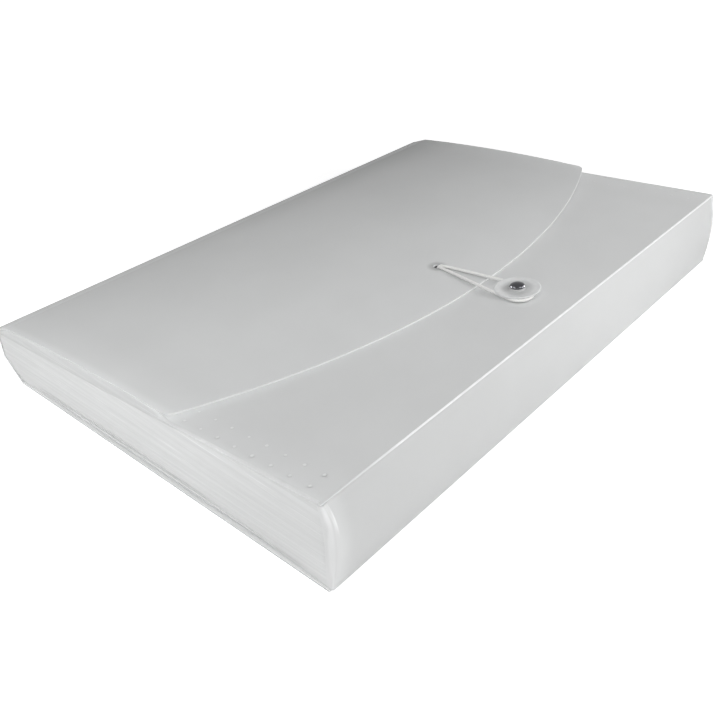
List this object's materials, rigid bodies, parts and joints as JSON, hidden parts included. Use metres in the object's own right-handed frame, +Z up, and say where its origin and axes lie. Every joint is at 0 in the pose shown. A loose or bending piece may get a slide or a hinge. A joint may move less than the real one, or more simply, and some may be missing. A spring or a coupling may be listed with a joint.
{
  "type": "expanding file",
  "caption": "Frosted expanding file with pleated sides, inner pockets, a wrap-over curved flap and an elastic loop that hooks round a riveted button.",
  "frame": {"origin": "centre of the bounding box at its base, on the surface that the back cover lies on", "axes": "+X along the width, +Y from the bottom wall towards the spine, +Z up through the front cover"},
  "size_m": [0.33, 0.228, 0.0462],
  "materials": {
    "cover_sheet": "frosted translucent polypropylene sheet, fine matt grain",
    "divider_sheet": "thin frosted polypropylene sheet",
    "gusset_film": "very thin frosted polypropylene film, heat pleated",
    "button_plastic": "moulded translucent polypropylene, satin",
    "rivet_metal": "nickel plated steel, polished dome",
    "elastic_cord": "white braided elastic cord"
  },
  "bodies": {
    "back": {"back_cover": "cover_sheet", "bottom_wall": "cover_sheet", "left_gusset": "gusset_film", "right_gusset": "gusset_film"},
    "spine_foot": {"spine_chamfer": "cover_sheet"},
    "spine": {"spine_wall": "cover_sheet"},
    "flap": {"flap": "cover_sheet", "elastic_loop": "elastic_cord", "elastic_crimp": "rivet_metal"},
    "divider_01": {"divider_01": "divider_sheet"},
    "divider_02": {"divider_02": "divider_sheet"},
    "divider_03": {"divider_03": "divider_sheet"},
    "divider_04": {"divider_04": "divider_sheet"},
    "divider_05": {"divider_05": "divider_sheet"},
    "divider_06": {"divider_06": "divider_sheet"},
    "divider_07": {"divider_07": "divider_sheet"},
    "divider_08": {"divider_08": "divider_sheet"},
    "divider_09": {"divider_09": "divider_sheet"},
    "divider_10": {"divider_10": "divider_sheet"},
    "divider_11": {"divider_11": "divider_sheet"},
    "divider_12": {"divider_12": "divider_sheet"},
    "front": {"front_cover": "cover_sheet", "left_weld_spots": "cover_sheet", "right_weld_spots": "cover_sheet", "button_rivet": "rivet_metal", "rivet_washer": "rivet_metal"},
    "button": {"button_disc": "button_plastic"}
  },
  "joints": [
    {"name": "flap_crease", "type": "hinge", "parent": "spine", "child": "flap", "pos_m": [0, 0.1136, 0.028], "axis": [-1, 0, 0], "range_deg": [0, 92], "deforming": ["elastic_loop", "left_gusset", "right_gusset"]},
    {"name": "spine_foot_crease", "type": "hinge", "parent": "back", "child": "spine_foot", "pos_m": [0, 0.102, 0.0004], "axis": [-1, 0, 0], "range_deg": [0, 40]},
    {"name": "spine_crease", "type": "hinge", "parent": "spine_foot", "child": "spine", "pos_m": [0, 0.1136, 0.012], "axis": [-1, 0, 0], "range_deg": [0, 40]},
    {"name": "pocket_01", "type": "hinge", "parent": "back", "child": "divider_01", "pos_m": [0, -0.1136, 0.0426], "axis": [1, 0, 0], "range_deg": [0, 1.6]},
    {"name": "pocket_02", "type": "hinge", "parent": "divider_01", "child": "divider_02", "pos_m": [0, -0.1136, 0.0426], "axis": [1, 0, 0], "range_deg": [0, 1.6]},
    {"name": "pocket_03", "type": "hinge", "parent": "divider_02", "child": "divider_03", "pos_m": [0, -0.1136, 0.0426], "axis": [1, 0, 0], "range_deg": [0, 1.6]},
    {"name": "pocket_04", "type": "hinge", "parent": "divider_03", "child": "divider_04", "pos_m": [0, -0.1136, 0.0426], "axis": [1, 0, 0], "range_deg": [0, 1.6]},
    {"name": "pocket_05", "type": "hinge", "parent": "divider_04", "child": "divider_05", "pos_m": [0, -0.1136, 0.0426], "axis": [1, 0, 0], "range_deg": [0, 1.6]},
    {"name": "pocket_06", "type": "hinge", "parent": "divider_05", "child": "divider_06", "pos_m": [0, -0.1136, 0.0426], "axis": [1, 0, 0], "range_deg": [0, 1.6]},
    {"name": "pocket_07", "type": "hinge", "parent": "divider_06", "child": "divider_07", "pos_m": [0, -0.1136, 0.0426], "axis": [1, 0, 0], "range_deg": [0, 1.6]},
    {"name": "pocket_08", "type": "hinge", "parent": "divider_07", "child": "divider_08", "pos_m": [0, -0.1136, 0.0426], "axis": [1, 0, 0], "range_deg": [0, 1.6]},
    {"name": "pocket_09", "type": "hinge", "parent": "divider_08", "child": "divider_09", "pos_m": [0, -0.1136, 0.0426], "axis": [1, 0, 0], "range_deg": [0, 1.6]},
    {"name": "pocket_10", "type": "hinge", "parent": "divider_09", "child": "divider_10", "pos_m": [0, -0.1136, 0.0426], "axis": [1, 0, 0], "range_deg": [0, 1.6]},
    {"name": "pocket_11", "type": "hinge", "parent": "divider_10", "child": "divider_11", "pos_m": [0, -0.1136, 0.0426], "axis": [1, 0, 0], "range_deg": [0, 1.6]},
    {"name": "pocket_12", "type": "hinge", "parent": "divider_11", "child": "divider_12", "pos_m": [0, -0.1136, 0.0426], "axis": [1, 0, 0], "range_deg": [0, 1.6]},
    {"name": "pocket_13", "type": "hinge", "parent": "divider_12", "child": "front", "pos_m": [0, -0.1136, 0.0426], "axis": [1, 0, 0], "range_deg": [0, 1.6]},
    {"name": "button_spin", "type": "hinge", "parent": "front", "child": "button", "pos_m": [0, -0.0856, 0.04103], "axis": [0, 0.0701, 0.9975], "continuous": true}
  ],
  "couplings": [
    {"joint": "spine_foot_crease", "follows": "flap_crease", "ratio": 0.43478},
    {"joint": "spine_crease", "follows": "flap_crease", "ratio": 0.43478},
    {"joint": "pocket_01", "follows": "flap_crease", "ratio": 0.017391},
    {"joint": "pocket_02", "follows": "flap_crease", "ratio": 0.017391},
    {"joint": "pocket_03", "follows": "flap_crease", "ratio": 0.017391},
    {"joint": "pocket_04", "follows": "flap_crease", "ratio": 0.017391},
    {"joint": "pocket_05", "follows": "flap_crease", "ratio": 0.017391},
    {"joint": "pocket_06", "follows": "flap_crease", "ratio": 0.017391},
    {"joint": "pocket_07", "follows": "flap_crease", "ratio": 0.017391},
    {"joint": "pocket_08", "follows": "flap_crease", "ratio": 0.017391},
    {"joint": "pocket_09", "follows": "flap_crease", "ratio": 0.017391},
    {"joint": "pocket_10", "follows": "flap_crease", "ratio": 0.017391},
    {"joint": "pocket_11", "follows": "flap_crease", "ratio": 0.017391},
    {"joint": "pocket_12", "follows": "flap_crease", "ratio": 0.017391},
    {"joint": "pocket_13", "follows": "flap_crease", "ratio": 0.017391}
  ]
}
